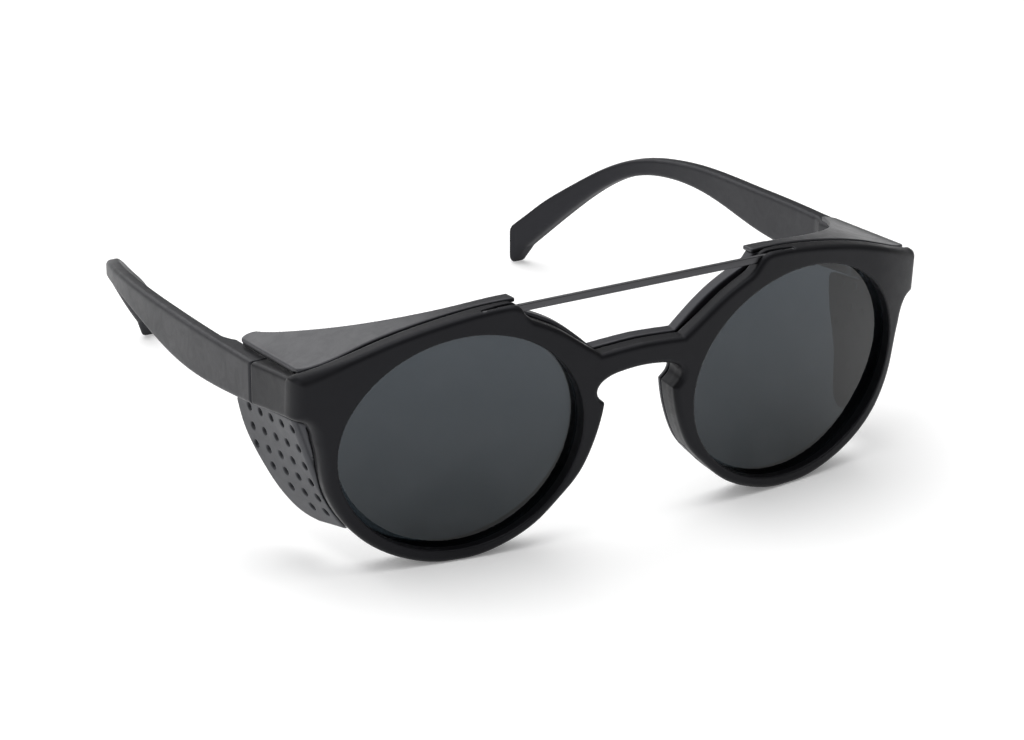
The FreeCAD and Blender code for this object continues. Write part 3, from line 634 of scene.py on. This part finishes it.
# each row of holes: its height at the front, and how many holes it has
HOLE_ROWS = [(30.9, 5), (26.6, 5), (22.6, 5), (18.9, 4), (15.3, 3), (11.9, 2)]
# the flange inside the panel's front edge: set in, width, depth, and its foot and top
FLANGE_INSET, FLANGE_WIDTH, FLANGE_DEPTH, FLANGE_FOOT, FLANGE_TOP = 0.8, 7.0, 2.4, 14.0, 33.0
FRONT_GAP = 0.06


def build_side_shield(end, way):
    """The curved panel below a temple, with rows of holes and a flange at its front."""
    axes = grid((49, 70), (4, 35.2), (5.5, 34), STEP * 0.64)
    x, y, z = spread(axes)
    line = smooth_line([(54.6, 4.5), (60.6, 12.4), (64.6, 21.0), (67.4, 29.0), (69.2, 34.5)])
    near = np.interp(z, line[:, 1], line[:, 0])
    lean = np.interp(z, line[1:, 1], np.diff(line[:, 0]) / np.diff(line[:, 1]))
    share = (y - PANEL_Y) / PANEL_RUN
    outer = near + (PANEL_REAR_X - near) * share
    g = np.sqrt(1 + (lean * (1 - share)) ** 2 + ((PANEL_REAR_X - near) / PANEL_RUN) ** 2)
    sheet = both((x - outer) / g, (outer - PANEL_THICKNESS * g - x) / g, 0.3)
    edge = chain(
        [(3.0, 34.4)],
        smooth_line([(33.4, 28.9), (34.6, 27.6)], (1, -0.14), (-0.1, -1)),
        smooth_line([(34.6, 27.6), (33.2, 22.8), (28.2, 15.6), (24.2, 10.4), (20.5, 7.5), (16.0, 6.9)]),
        [(3.0, 9.8)],
    )
    profile = in_yz(edge, axes)
    holes = np.full((len(axes[1]), len(axes[2])), 99.0, np.float32)
    for height, count in HOLE_ROWS:
        for k in range(count):
            cy, cz = FIRST_HOLE_Y + HOLE_PITCH * k, height - HOLE_FALL * HOLE_PITCH * k
            away = np.hypot(axes[1][:, None] - cy, axes[2][None, :] - cz)
            holes = np.minimum(holes, away - HOLE_RADIUS)
    depth = y - front_y(x, z)
    front = (BAND_DEPTH + FRONT_GAP - depth) / slant(x)
    body = both(both(sheet, profile, 0.35), -holes[None, :, :], 0.2)
    flange = np.maximum((x - outer) / g + FLANGE_INSET, outer - FLANGE_WIDTH - x)
    flange = both(np.maximum(flange, profile), -front - FLANGE_DEPTH, 0.3)
    flange = np.maximum(flange, np.maximum(z - FLANGE_TOP, FLANGE_FOOT - z))
    body = both(either(body, flange, 0.1), front, 0.8)
    insert = np.maximum(in_xz(front_outline(INSERT_PROUD), axes), (depth - INSERT_DEPTH) / slant(x))
    body = np.maximum(body, SEAT_GAP - np.maximum(insert, z - INSERT_END_Z))
    points, faces = surface(body.astype(np.float32), axes)
    sided("side_shield_moulding_" + end, points, faces, way, SIDE, "shields", "side_shield_plastic",
          "side_shield_" + end)


# stations along a temple: Y, the outer face's X, and the heights of its top and its foot
STATIONS = [
    (22.675, 71.0, 40.6, 31.5), (40.0, 71.1, 38.8, 28.6), (54.0, 71.1, 37.5, 27.2),
    (66.0, 70.8, 36.3, 27.2), (80.0, 70.3, 35.0, 28.4), (90.0, 69.4, 33.9, 28.8),
    (98.0, 68.1, 32.6, 28.3), (105.0, 66.3, 31.0, 27.0), (110.0, 64.4, 29.2, 25.1),
    (116.0, 61.2, 25.7, 20.9), (122.0, 57.0, 20.7, 14.6), (127.0, 52.8, 15.8, 8.3),
    (130.0, 50.0, 12.1, 4.3),
]
# the tip's end in plan, and the end of the top's line and the toe below it from the side
TIP = (45.9, 134.3)
TOP_END = [(133.0, 8.3), (134.5, 6.0)]
TOE = [TOP_END[-1], (133.9, 2.7), (132.0, 0.0)]
TEMPLE_THICKNESS = 3.0
# a rib inside the front end, in plan, that the hinge's leaf sits on
HINGE_RIB = [(66.7, 19.6), (66.7, 37.5), (69.0, 40.9), (70.0, 40.9), (70.0, 19.6)]


def moved_inward(line, by):
    """A line moved square to itself, to its left as it runs."""
    d = np.gradient(line, axis=0)
    d /= np.hypot(*d.T)[:, None]
    return line + by * np.stack([-d[:, 1], d[:, 0]], 1)


def build_temple(end, way):
    """A strap of even thickness, curved in plan and cut to its outline from the side."""
    axes = grid((43, 71.2), (SEAM_Y, 134.8), (0, 41), STEP)
    x, y, z = spread(axes)
    outer = smooth_line([(HALF_WIDTH, SEAM_Y - 4)] + [(b, a) for a, b, _, _ in STATIONS] + [TIP], step=1.0)
    plan = in_xy(chain(outer, moved_inward(outer, TEMPLE_THICKNESS)[::-1]), axes)
    rib = in_xy(np.array(HINGE_RIB), axes)
    tops = smooth_line([(a, c) for a, _, c, _ in STATIONS] + TOP_END, step=1.0)
    lows = smooth_line([(a, d) for a, _, _, d in STATIONS], step=1.0)
    side = in_yz(chain(tops, smooth_line(TOE), lows[::-1]), axes)
    body = both(either(plan, rib, 1.0), side, 0.95)
    body = both(body, SEAM_Y + SEAM_GAP - y, 0.15)
    body = np.maximum(body, -barrel_room(x, y, z))
    points, faces = surface(body.astype(np.float32), axes)
    sided("temple_moulding_" + end, points, faces, way, TEMPLE, end + "_temple", "temple_plastic",
          "temple_" + end)


def lens_y(x, z, inward):
    """Y of the +X lens's toric face, or of a face that much further in, at a point of the XZ plane."""
    place = np.array([LENS_X, float(front_y(LENS_X, LENS_Z)) + LENS_DEPTH, LENS_Z])
    wrap = math.asin(LENS_X / CENTRE_RADIUS)
    turn = np.array(Matrix.Rotation(wrap, 3, "Z") @ Matrix.Rotation(TILT, 3, "X"))
    y = np.full(np.shape(x), place[1])
    for _ in range(12):
        u, w, v = (turn.T @ (np.stack([x, y, z]) - place[:, None]))
        radius = LENS_RADIUS_ACROSS - v ** 2 / (2 * LENS_RADIUS_UP) - inward
        y = y + LENS_RADIUS_ACROSS - np.sqrt(radius ** 2 - u ** 2) - w
    return y


def build_lens(end, way):
    """A toric lens: rings of points on its front and back, joined at its edge."""
    turns = 160
    shares = np.concatenate([np.linspace(0.04, 0.96, 24), [0.975, 0.99, 1.0]])
    t = np.linspace(0, 2 * math.pi, turns, endpoint=False)
    x = (LENS_X + np.outer(shares * (LENS_A + LENS_EDGE), np.cos(t))).ravel()
    z = (LENS_Z + np.outer(shares * (LENS_B + LENS_EDGE), np.sin(t))).ravel()
    middle = np.array([LENS_X]), np.array([LENS_Z])
    sheets, centres = [], []
    for inward in (0.0, LENS_THICKNESS):
        sheets.append(np.stack([x, lens_y(x, z, inward), z], 1))
        centres.append([LENS_X, lens_y(*middle, inward)[0], LENS_Z])
    points = np.concatenate(sheets + [np.array(centres)])
    faces, count = [], len(x)
    k = np.arange(turns)
    nxt = (k + 1) % turns
    for ring in range(len(shares) - 1):
        a, b = ring * turns, (ring + 1) * turns
        faces.append(np.stack([a + k, a + nxt, b + nxt, b + k], 1))
        faces.append(np.stack([a + k, b + k, b + nxt, a + nxt], 1) + count)
    last = (len(shares) - 1) * turns
    faces.append(np.stack([last + k, last + nxt, last + nxt + count, last + k + count], 1))
    quads = np.concatenate(faces)
    fans = np.concatenate([np.stack([np.full(turns, 2 * count), nxt, k], 1),
                           np.stack([np.full(turns, 2 * count + 1), k + count, nxt + count], 1)])
    triangles = np.concatenate([quads[:, [0, 1, 2]], quads[:, [0, 2, 3]], fans])
    sided("smoke_lens_" + end, points, triangles[:, ::-1], way, LENS, "front", "lens_smoke", "lens_" + end)


def build_bar():
    """The flat brow bar, with its long edges eased."""
    axes = grid((-BAR_HALF_LENGTH, BAR_HALF_LENGTH), (-4.7, -3.9), (52.25, 53.85), 0.1)
    x, y, z = spread(axes)
    section = both(np.abs(y - BAR_Y) - BAR_HALF_THICKNESS, np.abs(z - BAR_Z) - BAR_HALF_HEIGHT, 0.2)
    body = both(section, np.abs(x) - BAR_HALF_LENGTH, 0.1)
    points, faces = surface(body.astype(np.float32), axes)
    mesh_piece("brow_bar_strip", points, faces, BAR, "front", "bar_metal", "brow_bar")


build_bar()
build_front()
build_insert()
for end, way in (("left", 1), ("right", -1)):
    build_top_shield(end, way)
    build_side_shield(end, way)
    build_temple(end, way)
    build_lens(end, way)


# ---------------------------------------------------------------- stage, light and camera

def floor_material():
    """A matt white floor with the faintest unevenness, and a little light of its own."""
    mat, nodes, links, bsdf = new_material("floor", (0.9, 0.9, 0.9), 0.6)
    coord = nodes.new("ShaderNodeTexCoord").outputs["Object"]
    soft = noise(nodes, links, coord, 6.0, 3.0)
    tone = mixed(nodes, links, "MIX", soft, (0.93, 0.93, 0.93), (0.95, 0.95, 0.95))
    links.new(tone, bsdf.inputs["Base Color"])
    bsdf.inputs["Specular IOR Level"].default_value = 0.15
    bsdf.inputs["Emission Color"].default_value = (1.0, 1.0, 1.0, 1.0)
    bsdf.inputs["Emission Strength"].default_value = 0.15
    return mat


FLOOR_REACH = 3.0


def make_floor():
    mesh = bpy.data.meshes.new("floor")
    corners = [(FLOOR_REACH * i, FLOOR_REACH * j, 0) for i, j in ((-1, -1), (1, -1), (1, 1), (-1, 1))]
    mesh.from_pydata(corners, [], [(0, 1, 2, 3)])
    mesh.materials.append(floor_material())
    obj = bpy.data.objects.new("floor", mesh)
    bpy.context.scene.collection.objects.link(obj)


def aim(obj, place, target):
    """Puts a lamp or camera at a place and turns it towards a target."""
    obj.location = place
    obj.rotation_euler = (Vector(target) - Vector(place)).to_track_quat("-Z", "Y").to_euler()


def softbox(name, place, target, size, watts):
    data = bpy.data.lights.new(name, "AREA")
    data.shape = "RECTANGLE"
    data.size, data.size_y = size
    data.energy = watts
    obj = bpy.data.objects.new(name, data)
    bpy.context.scene.collection.objects.link(obj)
    aim(obj, place, target)


def make_light():
    """A pale dome, brighter overhead and behind than in front, and large soft lamps."""
    world = bpy.data.worlds.new("studio")
    world.use_nodes = True
    nodes, links = world.node_tree.nodes, world.node_tree.links
    background = nodes["Background"]
    split = nodes.new("ShaderNodeSeparateXYZ")
    links.new(nodes.new("ShaderNodeTexCoord").outputs["Generated"], split.inputs[0])
    up = ramp(nodes, links, split.outputs["Z"], [(0.0, 0.16), (0.25, 0.3), (0.8, 1.0)])
    links.new(up, background.inputs["Color"])
    background.inputs["Strength"].default_value = 0.58
    bpy.context.scene.world = world
    centre = (0, 0, 0.02)
    softbox("overhead", (0.0, 0.15, 1.1), centre, (1.5, 1.5), 13.0)
    softbox("behind", (-0.3, 1.1, 0.5), centre, (1.4, 0.6), 4.5)
    softbox("left", (-1.0, -0.1, 0.35), centre, (0.5, 0.6), 1.7)


# the camera's place, in degrees and metres, about its target, and its focal length
AZIMUTH, ELEVATION = -28.01, 23.54
DISTANCE, FOCAL_LENGTH = 0.87637, 146.4
TARGET = (0.006007, (60.0 - MID_Y) * MM, 0.008757)


def make_camera():
    data = bpy.data.cameras.new("camera")
    data.sensor_width = 36.0
    data.lens = FOCAL_LENGTH
    data.clip_start = 0.01
    data.clip_end = 20.0
    obj = bpy.data.objects.new("camera", data)
    bpy.context.scene.collection.objects.link(obj)
    a, e = math.radians(AZIMUTH), math.radians(ELEVATION)
    back = Vector((math.sin(a) * math.cos(e), -math.cos(a) * math.cos(e), math.sin(e)))
    aim(obj, Vector(TARGET) + back * DISTANCE, TARGET)
    bpy.context.scene.camera = obj


make_floor()
make_light()
make_camera()
bpy.context.scene.view_settings.view_transform = "Standard"
